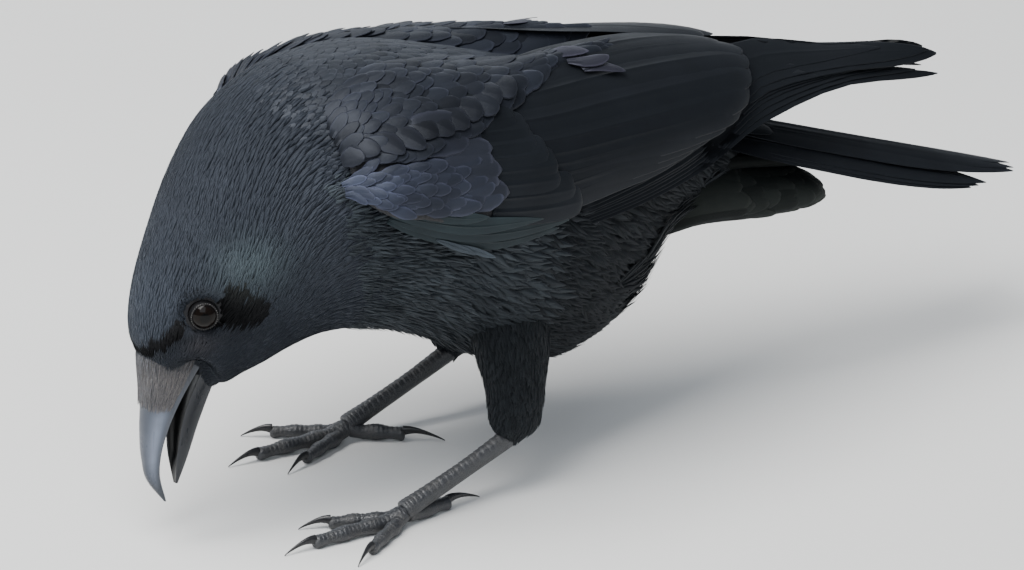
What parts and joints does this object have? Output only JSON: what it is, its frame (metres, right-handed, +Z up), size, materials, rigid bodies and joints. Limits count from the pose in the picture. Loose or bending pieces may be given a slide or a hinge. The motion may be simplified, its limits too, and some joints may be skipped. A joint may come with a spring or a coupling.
{
  "type": "crow",
  "caption": "Life-size still model of a black crow standing with its neck bent down and its bill open just over the ground, wings folded and tail held out.",
  "frame": {"origin": "middle of the model's footprint (its bounding box seen from above), on the floor that the feet stand on", "axes": "+Z up, the bird faces -Y, and +X is its left side"},
  "size_m": [0.1242, 0.4016, 0.1771],
  "materials": {
    "plumage": "soft black body feathers with a faint blue-grey sheen",
    "vanes": "satin black flight feathers with a faint purple and blue gloss",
    "bill": "smooth slate-black horn, semi-gloss",
    "eye": "wet dark brown, high gloss",
    "scutes": "scaly black leg skin, satin",
    "claws": "black horn, semi-gloss"
  },
  "bodies": {
    "root": {"hind_body": "plumage", "trunk": "plumage", "neck": "plumage", "head": "plumage", "undertail_coverts": "plumage", "upper_bill": "bill", "lower_bill": "bill", "tail": "vanes", "left_wing_coverts": "plumage", "left_wing_secondaries": "vanes", "left_wing_alula": "vanes", "left_wing_primaries": "vanes", "left_eye": "eye", "left_thigh": "plumage", "left_tarsus": "scutes", "left_toe_inner": "scutes", "left_claw_inner": "claws", "left_toe_middle": "scutes", "left_claw_middle": "claws", "left_toe_outer": "scutes", "left_claw_outer": "claws", "left_toe_hind": "scutes", "left_claw_hind": "claws", "right_wing_coverts": "plumage", "right_wing_secondaries": "vanes", "right_wing_alula": "vanes", "right_wing_primaries": "vanes", "right_eye": "eye", "right_thigh": "plumage", "right_tarsus": "scutes", "right_toe_inner": "scutes", "right_claw_inner": "claws", "right_toe_middle": "scutes", "right_claw_middle": "claws", "right_toe_outer": "scutes", "right_claw_outer": "claws", "right_toe_hind": "scutes", "right_claw_hind": "claws"}
  },
  "joints": []
}
